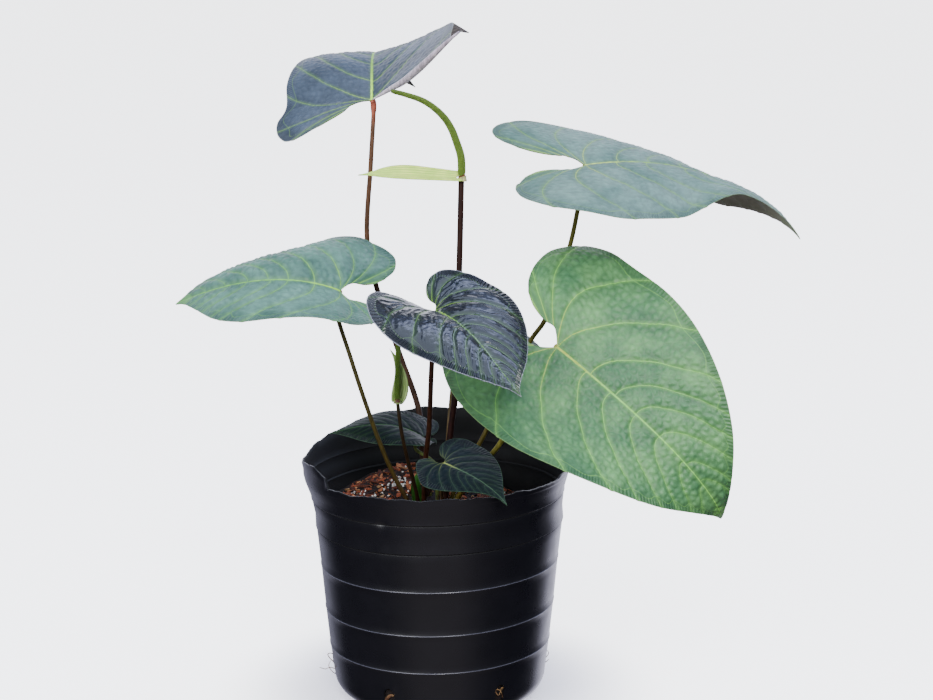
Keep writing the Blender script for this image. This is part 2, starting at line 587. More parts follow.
LEAVES = {
    "top": {
        "at": (-42.6, 55, 368), "length": 135, "aim": (91.4, 38.8, -38), "width": (0.88, 0.96),
        "lobe": (0.53, 0.62), "spread": (0.6, 1.38),
        "swell": ((0.02, 0.02, -0.05, 0.12), (-0.1, 0.05, -0.03, 0)), "droop": (29.5, 44.5, 39.5),
        "sway": 39, "twist": 35.6, "fold": (46.7, 9.6, -42), "curl": (-76, -5.5, 70.6),
        "lobe_droop": (44, -1.5), "full": (1, 7.1, 0.9, 0.15),
    },
    "left": {
        "at": (-60.7, 0, 255.4), "length": 110, "aim": (198.3, 24, -53.7), "width": (1.04, 1.19),
        "lobe": (0.89, 1.03), "spread": (-0.05, 0.38),
        "swell": ((0, -0.18, -0.01, 0), (0.01, 0.11, -0.16, 0.04)), "droop": (93.6, -13.6, -21.2),
        "sway": 20, "twist": 12.6, "fold": (25.6, -0.8, -10.5), "curl": (50.8, -90, -135.6),
        "lobe_droop": (-93.7, 41),
    },
    "dark": {
        "at": (-1.2, -75, 256.6), "length": 86, "aim": (-48, -3.4, -12.6), "width": (1.09, 1.02),
        "lobe": (1.21, 1.25), "spread": (0.23, -0.23),
        "swell": ((0, 0.06, -0.1, 0), (0, 0.12, 0.03, -0.09)), "droop": (69, -20.7, -21.7), "sway": 5,
        "fold": (33, -2, -21.4), "curl": (-24.6, -53.8, -36), "lobe_droop": (-64, -27.4),
    },
    "right": {
        "at": (90.2, 20, 330.6), "length": 151, "aim": (12.3, 6.4, -4.7), "width": (1.01, 0.99),
        "lobe": (0.84, 1.03), "spread": (0.52, -0.46),
        "swell": ((-0.07, 0.02, -0.13, -0.04), (-0.08, 0.02, 0.13, -0.04)), "droop": (37.5, 22.6, 11.6),
        "sway": -16.5, "twist": -18, "fold": (33.7, -15.3, -29), "curl": (-56.4, -37, -31),
        "lobe_droop": (66, 50.7), "turn": (-6.6, 0.53, -22),
    },
    "large": {
        "at": (70.6, -45, 229.4), "length": 156, "aim": (-24.8, -34.2, 53.7), "width": (0.95, 0.91),
        "lobe": (1.04, 1.09), "spread": (0.15, 0.06),
        "swell": ((-0.03, 0.02, 0.17, -0.1), (-0.03, 0.09, -0.02, 0.1)), "droop": (0, -30.7, 115.5),
        "sway": -7, "twist": 10, "fold": (-3.4, 0.2, -1), "curl": (-25.5, 52, 169), "lobe_droop": (31, 39),
    },
    "low_back": {
        "at": (-10.6, 8, 161.1), "length": 61, "aim": (188.3, 36, -2.5), "width": (0.8, 0.8),
        "lobe": (0.57, 0.62), "spread": (-0.55, 0.43),
        "swell": ((-0.02, 0.03, -0.23, -0.07), (-0.01, -0.01, -0.09, -0.07)), "droop": (73.4, 29.6, -55.3),
        "sway": -11, "twist": -26, "fold": (10.8, 23.2, -36.6), "curl": (-52.5, -14, -50.6),
        "lobe_droop": (-68.7, -113),
    },
    "low_front": {
        "at": (3.4, -50, 159.7), "length": 55, "aim": (-47.4, -5.6, 17), "width": (1.06, 0.8),
        "lobe": (0.95, 0.99), "spread": (0.23, -0.17),
        "swell": ((-0.04, -0.01, -0.06, -0.03), (-0.07, -0.04, -0.09, 0.15)), "droop": (4.5, 9.2, 27),
        "twist": -14.6, "fold": (0.9, -8.6, 5.8), "curl": (-8, -73, -13.8), "lobe_droop": (-25.6, 15),
    },
    "middle": {
        "at": (12.2, 32, 228.1), "length": 57, "aim": (0, -3, 9), "spread": (0.1, 0.1), "droop": (28, 0, 0),
        "fold": (6, 6, 0), "curl": (-30, -30, 0), "lobe_droop": (-20, -20),
    },
}
LEAVES = {name: PLAIN_LEAF | leaf for name, leaf in LEAVES.items()}
# Look of each leaf: its face with lighter patches, its veins and their paler foot, its
# underside and rim, the roughness, the mesh spacing, the height of the quilting between the
# veins, how strongly the side veins show, the height of the fine ridges and of the crimp, how
# strongly it shines, how broad its midrib is, and how high its small cells stand.
PLAIN_LOOK = {
    "under": 0x3A5040, "rim": 0x44604A, "rough": 0.45, "mesh": 0.8, "ridges": 0.5, "crimp": 0.4, "broad": 1,
    "cells": 0.5,
}
LEAF_LOOKS = {
    "top": {
        "face": 0x38424F, "patch": 0x4B5869, "vein": 0x8CC04C, "foot": 0xC8FF58, "under": 0x7A6E7E,
        "rim": 0xA8B0A8, "rough": 0.4, "quilt": 0.6, "lines": 0.4, "crimp": 0.3, "gloss": 0.35,
        "broad": 1.8,
    },
    "left": {
        "face": 0x42685C, "patch": 0x5E887A, "vein": 0x7CC458, "foot": 0xA0E048, "under": 0x55704A,
        "rim": 0x6E9A60, "mesh": 0.75, "quilt": 0.9, "lines": 0.55, "ridges": 0.45, "crimp": 0.5,
        "gloss": 0.45, "broad": 0.8, "cells": 0.6,
    },
    "dark": {
        "face": 0x050C18, "patch": 0x0A1426, "vein": 0x4E7434, "foot": 0x88B040, "under": 0x3A4034,
        "rim": 0xB8B8C8, "rough": 0.15, "mesh": 0.55, "quilt": 0.9, "lines": 0.55, "ridges": 2.0,
        "crimp": 0.9, "gloss": 0.75, "cells": 0.18,
    },
    "right": {
        "face": 0x50726A, "patch": 0x6E8C83, "vein": 0x84B858, "foot": 0xC8E070, "under": 0xA0A090,
        "rim": 0x6E9A60, "quilt": 0.7, "lines": 0.6, "ridges": 0.35, "crimp": 0.6, "gloss": 0.36,
    },
    "large": {
        "face": 0x44744C, "patch": 0x64985E, "vein": 0x8CD462, "foot": 0xC0D050, "under": 0x5E7A4C,
        "rim": 0x8AB070, "quilt": 1.1, "lines": 0.7, "ridges": 0.35, "crimp": 0.45, "gloss": 0.4,
        "broad": 1.1, "cells": 0.6,
    },
    "low_back": {
        "face": 0x0C1618, "patch": 0x131F20, "vein": 0x3E6238, "foot": 0x4E7A30, "rough": 0.42, "mesh": 0.6,
        "quilt": 0.3, "lines": 0.25, "gloss": 0.14,
    },
    "low_front": {
        "face": 0x0A161C, "patch": 0x122028, "vein": 0x4C6850, "foot": 0xA8B460, "rough": 0.42,
        "mesh": 0.55, "quilt": 0.3, "lines": 0.3, "crimp": 0.25, "gloss": 0.14,
    },
    "middle": {
        "face": 0x1C3426, "patch": 0x28442F, "vein": 0x5C8840, "foot": 0x7EA050, "under": 0x4A6040,
        "rim": 0x5C8840, "rough": 0.4, "mesh": 0.7, "quilt": 0.4, "lines": 0.4, "gloss": 0.3,
    },
}
BLADE = {"thickness": 0.6, "margin": 0.3, "rib": 0.8, "side_rib": 0.35}
VEINS = {
    "starts": (0, 0.15, 0.28, 0.41, 0.53, 0.65, 0.77, 0.89), "arch": 2.0, "arch_growth": 3.2, "gap": 0.13,
    "back": (0, 0.75, 1.35, 2.1, 3.2), "back_gap": 0.7, "first": -0.6, "rounds": 12, "jitter": 0.022,
    "wander": 0.03, "kinks": ((31, 17, 0), (-41, 23, 2)), "collective": 5.0, "scallop": 1.5, "ridges": 3.0,
}
CELLS = {"size": 4.6, "seeds": 97, "spread": (0.12, 0.88), "from": (40, 20)}
CRIMP = {"band": 4.4, "wave": 2.3, "height": 0.12, "depth": 0.0003, "wobble": (9.1, 1.4), "slant": 0.5}
# Relief between the veins, in millimetres: how far a vein's and the midrib's furrows reach to
# the side and how deep they cut, where the quilting rises away from the veins and the margin,
# and the shares that its crowns, cells and fine ridges have in it.
RELIEF = {
    "vein": 1.1, "rib": 1.6, "vein_cut": 0.3, "rib_cut": 0.25, "open": (2, 9), "by_rib": (0.5, 6),
    "dome": (0, 0.8), "dome_gap": (3, 8), "dome_margin": (3, 7), "crown": 0.7, "ridge": 0.14, "full": 1.2,
    "edge_share": 0.85,
}
# Shading of the veins: how a side vein and the midrib thin towards the tip and their half
# width at the foot, in millimetres, the soft edges of each line, the share of its colour that
# each one takes, and how far the paler foot reaches.
VEIN_LOOK = {
    "side": (-0.18, 0.42), "side_edge": (0.35, 1.0), "side_fade": (0.3, 1.05), "at_tip": 0.45,
    "rib": (-0.6, 0.85), "rib_edge": (0.5, 1.0), "rib_share": 0.55, "collective_edge": (0.08, 0.36),
    "collective_share": 0.55, "side_halo": (0.3, 2.6), "rib_halo": (0.6, 3.4), "halo_share": 0.3, "foot": 0.3,
}
# Shading of the face: its clouds and specks, how much darker its hollows are, its pale rim
# and the dull underside with its weaker veins.
FACE_LOOK = {
    "cloud": (42, 5), "speck": (240, 4), "specked": (0.86, 1.14), "hollows": 0.42, "grain": (900, 3),
    "rim": (0.1, 0.5), "rim_share": 0.7, "under_veins": 0.5, "rougher": (0.05, 0.08), "under_rough": 0.2,
    "sheen": 0.03,
}
# The ends between which most of a noise lies.
USUAL = (0.3, 0.7)


def spline(points, steps):
    """A smooth line through the points, with steps to each stretch."""
    points = np.asarray(points, float)
    ends = np.vstack([2 * points[0] - points[1], points, 2 * points[-1] - points[-2]])
    at = np.arange((len(points) - 1) * steps + 1) / steps
    i = np.minimum(at.astype(int), len(points) - 2)
    f = (at - i)[:, None]
    a, b, c, d = (ends[i + k] for k in range(4))
    return 0.5 * (2 * b + (c - a) * f + (2 * a - 5 * b + 4 * c - d) * f ** 2
                  + (3 * b - a - 3 * c + d) * f ** 3)


def run_of(line):
    """The distance along a line at each of its points."""
    return np.concatenate([[0], np.cumsum(np.linalg.norm(np.diff(line, axis=0), axis=1))])


def between(at, marks, table):
    """The rows of a table, given at its marks, for any places between them."""
    return np.stack([np.interp(at, marks, column) for column in np.transpose(table)], -1)


def evenly(line, pitch, fewest):
    """Points along a line that are about a pitch apart."""
    run = run_of(line)
    return between(np.linspace(0, run[-1], max(fewest, round(run[-1] / pitch))), run, line)


def step(x, low, high):
    """A smooth rise from 0 at low to 1 at high."""
    x = np.clip((x - low) / (high - low), 0, 1)
    return x * x * (3 - 2 * x)


def half_outline(leaf, outline, pick):
    """One half of a leaf's own flat outline; pick is 0 for the left half and 1 for the right."""
    index = np.arange(len(outline))
    scale = np.ones(len(outline))
    for stretch, amount in enumerate(leaf["swell"][pick]):
        off = (index - SWELL["spacing"] * (stretch + 1)) / SWELL["reach"]
        scale = scale + np.where(index > 0, amount * np.exp(-off * off), 0)
    side, place_on, spread, amount = leaf["full"]
    if side == pick:
        scale = scale + amount * np.exp(-((index - place_on) / spread) ** 2)
    u = outline[:, 0] * scale
    v = outline[:, 1] * scale * leaf["width"][pick]
    v = np.where(u < 0, v - u * leaf["spread"][pick], v)
    u = np.where(u < 0, u * leaf["lobe"][pick], u)
    return np.stack([u, v if pick == 0 else -v], -1)


def axes(heading, pitch, roll):
    """The ways ahead, left and up for a heading and a pitch, rolled about the way ahead."""
    level = np.cos(pitch)
    ahead = np.stack([level * np.cos(heading), level * np.sin(heading), np.sin(pitch)], -1)
    left = np.stack([-np.sin(heading), np.cos(heading), 0 * heading], -1)
    up = np.cross(ahead, left)
    cos, sin = np.cos(roll)[..., None], np.sin(roll)[..., None]
    return ahead, left * cos + up * sin, up * cos - left * sin


def bend(leaf, u, v):
    """Bends flat points (u, v) of a blade, in shares of its length, and puts them in place."""
    pick = (v < 0).astype(int)
    side = 1 - 2 * pick
    drop, drop2, drop3 = np.radians(leaf["droop"])
    down, turn_at, turn_twist = leaf["turn"]

    def turning(x):
        return step(x, turn_at - TURN_LENGTH / 2, turn_at + TURN_LENGTH / 2)

    def pitch_of(x):
        return -(drop * x + drop2 * x ** 2 + drop3 * x ** 3 + math.radians(down) * turning(x))

    sway = math.radians(leaf["sway"])
    grid = np.linspace(0, RIB_LENGTH, RIB_STEPS)
    middle = (grid[1:] + grid[:-1]) / 2
    strides = axes(sway * middle, pitch_of(middle), 0 * middle)[0] * grid[1]
    rib = np.vstack([np.zeros(3), np.cumsum(strides, 0)])
    ahead = np.clip(u, 0, grid[-1])
    at = between(ahead, grid, rib)
    lobe = np.radians(np.array(leaf["lobe_droop"], float))[pick]
    slope = -lobe * u
    behind = np.stack([-np.sin(slope) / lobe, 0 * u, (np.cos(slope) - 1) / lobe], -1)
    back = u < 0
    at = np.where(back[:, None], behind, at)
    twist = math.radians(leaf["twist"]) * u + math.radians(turn_twist) * turning(u)
    _, left, up = axes(np.where(back, 0, sway * ahead), np.where(back, slope, pitch_of(ahead)), twist)
    fold = np.radians(np.array(leaf["fold"][:2]))[pick] + math.radians(leaf["fold"][2]) * u
    curl = np.radians(np.array(leaf["curl"][:2]))[pick] + math.radians(leaf["curl"][2]) * u
    curl = np.where(np.abs(curl) < 1e-4, 1e-4, curl)
    end = fold + curl * np.abs(v)
    at = at + left * (side * (np.sin(end) - np.sin(fold)) / curl)[:, None]
    at = at + up * ((np.cos(fold) - np.cos(end)) / curl)[:, None]
    basis = np.array(axes(*np.radians(np.array(leaf["aim"], float))))
    return np.array(leaf["at"]) + leaf["length"] * at @ basis


def flat_mesh(outline, sinus, length, spacing):
    """A flat sheet over the outline and its mirror image: points in shares of the length,
    triangles, the length of its edge's loop, and each point's place on and share of the outline."""
    pitch = spacing / length
    fine = spline(outline, STEPS)
    inner = evenly(spline(sinus, INNER_STEPS), pitch, SHEET["fewest_inner"])[1:-1]
    left = np.vstack([evenly(fine, pitch, SHEET["fewest"]), inner])
    loop = np.vstack([[[0, 0]], left[:0:-1] * (1, -1), left])
    row_step = pitch * math.sqrt(3) / 2
    last = round(SHEET["half"] / row_step)
    grid = np.array([(u + (row % 2) * pitch / 2, row * row_step) for row in np.arange(-last, last + 1)
                     for u in np.arange(SHEET["behind"], SHEET["ahead"], pitch)])
    a, b = loop, np.roll(loop, -1, axis=0)
    crossings = np.zeros(len(grid), int)
    nearest = np.full(len(grid), 9.0)
    for (ax, ay), (bx, by) in zip(a, b):
        dx, dy = bx - ax, by - ay
        share = np.clip(((grid[:, 0] - ax) * dx + (grid[:, 1] - ay) * dy) / (dx * dx + dy * dy), 0, 1)
        nearest = np.minimum(nearest, np.hypot(grid[:, 0] - ax - share * dx, grid[:, 1] - ay - share * dy))
        spans = (ay > grid[:, 1]) != (by > grid[:, 1])
        crossings += spans & (grid[:, 0] < ax + dx * (grid[:, 1] - ay) / (dy if dy else 1))
    inside = (crossings % 2 == 1) & (nearest > SHEET["clear"] * pitch)
    verts = np.vstack([loop, grid[inside]])
    edges = [(i, (i + 1) % len(loop)) for i in range(len(loop))]
    out, _, faces, _, _, _ = delaunay_2d_cdt([tuple(p) for p in verts], edges, [], 1, 1e-7)
    flat = np.array([tuple(p) for p in out])
    fan = np.vstack([fine, spline(np.vstack([outline[-1], BEYOND]), INNER_STEPS)[1:]])
    angles = np.maximum.accumulate(np.arctan2(fan[:, 1], fan[:, 0]))
    radii, knots = np.linalg.norm(fan, axis=1), np.arange(len(fan)) / STEPS
    turn = np.arctan2(np.abs(flat[:, 1]), flat[:, 0])
    share = np.linalg.norm(flat, axis=1) / np.interp(turn, angles, radii)
    faces = np.array([tuple(f) for f in faces])
    return flat, faces, len(loop), np.interp(turn, angles, knots), np.minimum(share, 1)


def leaf_points(leaf, outline, flat, place_on, share):
    """The flat points moved to the leaf's own outline."""
    own = np.zeros_like(flat)
    for pick in (0, 1):
        beyond = half_outline(leaf, np.vstack([outline, BEYOND]), pick)
        fine = spline(half_outline(leaf, outline, pick), STEPS)
        fine = np.vstack([fine, spline(beyond[-2:], INNER_STEPS)[1:]])
        edge = between(place_on, np.arange(len(fine)) / STEPS, fine)
        mine = flat[:, 1] < 0 if pick else flat[:, 1] >= 0
        own[mine] = (edge * share[:, None])[mine]
    return own


def leaf_sheet(leaf, outline, sinus, spacing):
    """The sheet of one leaf: what flat_mesh gives, and the points bent and put in place."""
    flat, faces, loop, place_on, share = flat_mesh(outline, sinus, leaf["length"], spacing)
    own = leaf_points(leaf, outline, flat, place_on, share)
    return flat, faces, loop, place_on, share, bend(leaf, own[:, 0], own[:, 1])


def vein_field(flat, length, rng):
    """Number of the side vein that runs through each point, a whole number on a vein, and
    the distance in millimetres from one vein to the next."""
    u, v = flat[:, 0], np.maximum(np.abs(flat[:, 1]), 1e-5)
    start = np.array(u)
    for _ in range(VEINS["rounds"]):
        arch = VEINS["arch"] * np.exp(VEINS["arch_growth"] * start) * v * v
        start = start - (start + arch - u) / (1 + VEINS["arch_growth"] * arch)
        start = np.clip(start, VEINS["first"], 1)
    turn = (VEINS["arch"] * v * v - u) / v
    number = np.zeros(len(u))
    for side in (1, -1):
        shake = rng.uniform(-1, 1, len(VEINS["starts"])) * VEINS["jitter"]
        starts = np.array(VEINS["starts"]) + shake * (np.arange(len(shake)) > 0)
        ahead = np.interp(start, starts, np.arange(len(starts)))
        back = -np.interp(turn, VEINS["back"], np.arange(len(VEINS["back"])))
        mine = flat[:, 1] * side >= 0
        number[mine] = np.where(start > 0, ahead, back)[mine]
    kinks = sum(np.sin(a * u + b * flat[:, 1] + c) for a, b, c in VEINS["kinks"])
    number = number + VEINS["wander"] * kinks * step(v, 0, 0.08) / 2
    arch = VEINS["arch"] * np.exp(VEINS["arch_growth"] * start)
    slope = np.sqrt(1 + 4 * arch ** 2 * v ** 2) / (1 + VEINS["arch_growth"] * arch * v ** 2)
    gap_ahead = VEINS["gap"] / slope
    gap_back = VEINS["back_gap"] / np.sqrt(1 / v ** 2 + (VEINS["arch"] + u / v ** 2) ** 2)
    return number, np.where(start > 0, gap_ahead, gap_back) * length


def cell_edges(x, y, rng):
    """How near each point (x, y) is to the edge between two of the cells round random seeds."""
    size = CELLS["seeds"]
    seeds = rng.uniform(*CELLS["spread"], (size, size, 2))
    near, after = np.full(len(x), 9.0), np.full(len(x), 9.0)
    i, j = np.floor(x).astype(int), np.floor(y).astype(int)
    for di in (-1, 0, 1):
        for dj in (-1, 0, 1):
            seed = seeds[(i + di) % size, (j + dj) % size]
            away = np.hypot(i + di + seed[:, 0] - x, j + dj + seed[:, 1] - y)
            after = np.where(away < near, near, np.minimum(after, away))
            near = np.minimum(near, away)
    return after - near


def sheet_normals(points, faces):
    """The unit normal of the sheet at each point."""
    a, b, c = (points[faces[:, k]] for k in range(3))
    across = np.cross(b - a, c - a)
    normals = np.zeros_like(points)
    for k in range(3):
        np.add.at(normals, faces[:, k], across)
    return normals / np.linalg.norm(normals, axis=1)[:, None]


def two_sided(name, points, faces, loop, front, back, marks, finish):
    """A closed blade whose faces stand front and back off the sheet; marks are its attributes."""
    normals = sheet_normals(points, faces)
    count = len(points)
    both = np.vstack([points + normals * front[:, None], points + normals * back[:, None]])
    around = np.arange(loop)
    after = (around + 1) % loop
    rim = np.stack([around, around + count, after + count, after], -1)
    closed = [*faces.tolist(), *(faces[:, ::-1] + count).tolist(), *rim.tolist()]
    made = mesh_object(name, both, closed, finish, 60)
    doubled = {key: np.tile(value, 2) for key, value in marks.items()}
    carry(made, {**doubled, "under": np.repeat([0, 1], count)})
    return made


def leaf_finish(name, look):
    """Leathery leaf: pale veins on a mottled face, a thin pale edge and a duller underside."""
    vein, rough, strength, broad = colour(look["vein"]), look["rough"], look["lines"], look["broad"]
    made, tree, shader = material(f"leaf_{name}", rough, Specular_IOR_Level=look["gloss"],
                                  Sheen_Weight=FACE_LOOK["sheen"])
    number, gap, reach, margin = (attribute(tree, key) for key in ("vein", "vein_gap", "reach", "margin"))
    midrib, under, height, crimp = (attribute(tree, key) for key in ("midrib", "under", "height", "crimp"))

    side = calc(tree, "MULTIPLY", calc(tree, "PINGPONG", number, 0.5), gap)
    thin = calc(tree, "MULTIPLY_ADD", reach, *VEIN_LOOK["side"])
    main = fade(tree, calc(tree, "DIVIDE", side, thin), *VEIN_LOOK["side_edge"])
    weaker = fade(tree, reach, *VEIN_LOOK["side_fade"], strength, strength * VEIN_LOOK["at_tip"])
    main = calc(tree, "MULTIPLY", main, weaker)
    middle = calc(tree, "ABSOLUTE", midrib)
    width = calc(tree, "MULTIPLY_ADD", reach, *(broad * share for share in VEIN_LOOK["rib"]))
    rib = fade(tree, calc(tree, "DIVIDE", middle, width), *VEIN_LOOK["rib_edge"])
    rib = calc(tree, "MULTIPLY", rib, min(1, VEIN_LOOK["rib_share"] + strength))
    waves = calc(tree, "COSINE", calc(tree, "MULTIPLY", number, 2 * math.pi))
    waves = calc(tree, "MULTIPLY", waves, VEINS["scallop"])
    centre = calc(tree, "ADD", waves, VEINS["collective"])
    line = calc(tree, "ABSOLUTE", calc(tree, "SUBTRACT", margin, centre))
    line = fade(tree, line, *VEIN_LOOK["collective_edge"])
    collective = calc(tree, "MULTIPLY", line, VEIN_LOOK["collective_share"] * strength)
    veins = calc(tree, "MAXIMUM", calc(tree, "MAXIMUM", main, rib), collective)
    halo = fade(tree, side, *VEIN_LOOK["side_halo"])
    halo = calc(tree, "MAXIMUM", halo, fade(tree, middle, *VEIN_LOOK["rib_halo"]))

    where = spot(tree)
    cloud = rise(tree, noise(tree, where, *FACE_LOOK["cloud"]), *USUAL)
    speck = fade(tree, noise(tree, where, *FACE_LOOK["speck"]), *USUAL, *FACE_LOOK["specked"])
    shade = calc(tree, "ADD", speck, calc(tree, "MULTIPLY", height, FACE_LOOK["hollows"]))
    body = scaled(tree, mix(tree, cloud, colour(look["face"]), colour(look["patch"])), shade)
    body = mix(tree, calc(tree, "MULTIPLY", halo, VEIN_LOOK["halo_share"] * strength), body, vein)
    warm = mix(tree, fade(tree, reach, 0.0, VEIN_LOOK["foot"]), vein, colour(look["foot"]))
    rim = calc(tree, "MULTIPLY", fade(tree, margin, *FACE_LOOK["rim"]), FACE_LOOK["rim_share"])
    upper = mix(tree, rim, mix(tree, veins, body, warm), colour(look["rim"]))
    lower = mix(tree, calc(tree, "MULTIPLY", veins, FACE_LOOK["under_veins"]), colour(look["under"]), vein)
    fine = noise(tree, where, *FACE_LOOK["grain"])
    less, more = FACE_LOOK["rougher"]
    dull = calc(tree, "ADD", fade(tree, fine, *USUAL, rough - less, rough + more),
                calc(tree, "MULTIPLY", under, FACE_LOOK["under_rough"]))
    waves = calc(tree, "COSINE", calc(tree, "MULTIPLY", crimp, 2 * math.pi))
    waves = calc(tree, "MULTIPLY", waves, fade(tree, margin, CRIMP["band"] - 1.5, CRIMP["band"] + 0.5))
    ridged = bump(tree, waves, look["crimp"], CRIMP["depth"])
    feed(shader, {"Base Color": mix(tree, under, upper, lower), "Roughness": dull,
                  "Normal": bump(tree, fine, 0.3, 0.0003, Normal=ridged)})
    return made


def leaf_blade(name, leaf, look, seed):
    """One leaf blade with its veins, quilting and crimped margin as real relief."""
    rng = np.random.default_rng(seed)
    length, quilt = leaf["length"], look["quilt"]
    flat, faces, loop, place_on, share, points = leaf_sheet(leaf, HEART, SINUS, look["mesh"])
    number, gap = vein_field(flat, length, rng)
    outline = spline(HEART, STEPS)
    knots = np.arange(len(outline)) / STEPS
    run = run_of(outline) * length
    radius = np.interp(place_on, knots, np.linalg.norm(outline, axis=1))
    margin = (1 - share) * radius * length * RELIEF["edge_share"]
    along = np.interp(place_on, knots, run)
    middle = flat[:, 1] * length
    reach = np.clip(np.linalg.norm(flat, axis=1), 0, 1)

    off = np.abs(number - np.round(number))
    near = np.exp(-(off * gap / RELIEF["vein"]) ** 2)
    rib = np.exp(-(middle / RELIEF["rib"]) ** 2) * np.where(flat[:, 0] > 0, 1, 0)
    open_field = step(gap, *RELIEF["open"]) * step(margin, *RELIEF["open"])
    crown = (1 - (1 - 2 * off) ** 2) * step(np.abs(middle), *RELIEF["by_rib"]) * open_field
    x, y = CELLS["from"]
    cells = cell_edges(flat[:, 0] * length / CELLS["size"] + x, middle / CELLS["size"] + y, rng)
    dome = step(cells, *RELIEF["dome"]) * step(gap, *RELIEF["dome_gap"])
    dome = dome * step(margin, *RELIEF["dome_margin"])
    sway = 0.3 * np.sin(np.abs(middle) / 5.1 + 3 * number) + 0.2 * np.sin(np.abs(middle) / 2.3 - 5 * number)
    furrow = np.cos(2 * math.pi * (VEINS["ridges"] * number + sway)) * open_field
    furrow = furrow * step(np.sin(number * 5.1 + middle / 4.7) + np.sin(middle / 3.1 - 2 * number), -1.2, 0.9)
    band = step(margin, 0.2, 1.5) * (1 - step(margin, CRIMP["band"] - 1.2, CRIMP["band"] + 1))
    every, sideways = CRIMP["wobble"]
    wobble = np.sin(along / every + seed) * sideways
    crimp = (along + wobble + CRIMP["slant"] * margin) / CRIMP["wave"]
    relief = quilt * (RELIEF["crown"] * crown + look["cells"] * dome)
    relief = relief + RELIEF["ridge"] * look["ridges"] * furrow
    height = np.clip(relief / (RELIEF["full"] * quilt), 0, 1) - 0.5
    relief = relief - RELIEF["vein_cut"] * near * quilt - RELIEF["rib_cut"] * rib
    relief = relief + look["crimp"] * CRIMP["height"] * band * np.cos(2 * math.pi * crimp)
    half = (BLADE["margin"] + (BLADE["thickness"] - BLADE["margin"]) * step(margin, 0, 2)) / 2
    ridge = BLADE["rib"] * (1 - 0.8 * reach) * rib + BLADE["side_rib"] * near * (1 - 0.7 * reach)
    marks = {"vein": number, "vein_gap": gap, "reach": reach, "margin": margin, "midrib": middle}
    marks |= {"height": height, "crimp": crimp}
    return two_sided(f"blade_{name}", points, faces, loop, relief + half, relief - half - ridge, marks,
                     leaf_finish(name, look))


for seed, (name, leaf) in enumerate(LEAVES.items()):
    blade = leaf_blade(name, leaf, PLAIN_LOOK | LEAF_LOOKS[name], seed + 3)
    place(blade, f"leaf_{name}")

# The petioles: thin brown to olive stalks, each with a slightly swollen knee below its
# blade. They rise straight out of the stem base at first, and turn square to the back of
# their blade a neck's length before it.
FOOT_HEIGHT = 119.35
FOOT_RISE = 5
FOOT_SUNK = 3
NECK = 8.3
SKIN = 0.3
CLEAR = 0.3
PETIOLES = {
    "top": {
        "foot": (-7, 10), "radius": (1.75, 1.1), "colours": (0x301A10, 0x6A4A34), "top": 0xB0604C,
        "way": [(-10.8, 22, 144), (-13.6, 38, 171), (-27, 47, 209), (-41.7, 54, 252), (-46.6, 56, 279),
                (-43.6, 55, 330)],
        "neck": 2,
    },
    "left": {
        "foot": (-20, -10), "radius": (1.15, 1.05), "colours": (0x3A2A10, 0x4C4818),
        "way": [(-26.9, -11, 139), (-36.1, -13, 161.6), (-53.7, -9, 214)],
    },
    "dark": {
        "foot": (-9.5, -13), "radius": (1.3, 1.15), "colours": (0x3A2012, 0x3A2014),
        "way": [(-7.8, -32, 158.7), (-5.6, -45, 178.7), (-3.2, -70, 226)],
    },
    "right": {
        "foot": (8, 1), "radius": (1.25, 1.15), "colours": (0x685824, 0x5C5C1C),
        "way": [(29.2, 12, 164), (57.3, 19, 221), (66, 20.5, 233.5), (81.3, 22, 280.5), (87.5, 21, 312)],
    },
    "large": {
        "foot": (11, -7), "radius": (1.4, 1.25), "colours": (0x746428, 0x8A8C3C),
        "way": [(31.9, -22, 157.3), (36.7, -25, 164.4), (60.8, -39, 208)],
    },
    "low_back": {
        "foot": (-1.5, 3), "radius": (0.9, 0.8), "colours": (0x5E6A34, 0x5E6A34), "way": [(-3.5, 5, 145)],
    },
    "low_front": {
        "foot": (2, -14), "radius": (1, 0.85), "colours": (0x5A4030, 0x6A6038), "way": [(2, -36, 141)],
    },
    "middle": {
        "foot": (3, 5), "radius": (1.1, 0.9), "colours": (0x5A4030, 0x6A6038),
        "way": [(6, 18, 169), (10, 29, 209)],
    },
}
KNEE = {"length": 9, "swell": 0.35}
BLADE_RINGS_FIRST = 0.12
STALK_LOOK = {"stretch": (1, 1, 0.3), "fleck": (520, 4), "flecked": (0.65, 1.3), "top": (0.93, 0.99)}


def smooth_way(points, steps=10):
    """A line through the points that keeps close to their straight stretches."""
    p = np.asarray(points, float)
    p = np.vstack([2 * p[0] - p[1], p, 2 * p[-1] - p[-2]])
    knots = np.concatenate([[0], np.cumsum(np.linalg.norm(np.diff(p, axis=0), axis=1) ** 0.5)])
    line = []
    for i in range(1, len(p) - 2):
        d0, d1, d2 = knots[i] - knots[i - 1], knots[i + 1] - knots[i], knots[i + 2] - knots[i + 1]
        start = ((p[i] - p[i - 1]) / d0 - (p[i + 1] - p[i - 1]) / (d0 + d1) + (p[i + 1] - p[i]) / d1) * d1
        end = ((p[i + 1] - p[i]) / d1 - (p[i + 2] - p[i]) / (d1 + d2) + (p[i + 2] - p[i + 1]) / d2) * d1
        for k in range(steps):
            t = k / steps
            line.append(p[i] + start * t + (-3 * p[i] + 3 * p[i + 1] - 2 * start - end) * t ** 2
                        + (2 * p[i] - 2 * p[i + 1] + start + end) * t ** 3)
    line.append(p[-2])
    return np.array(line)


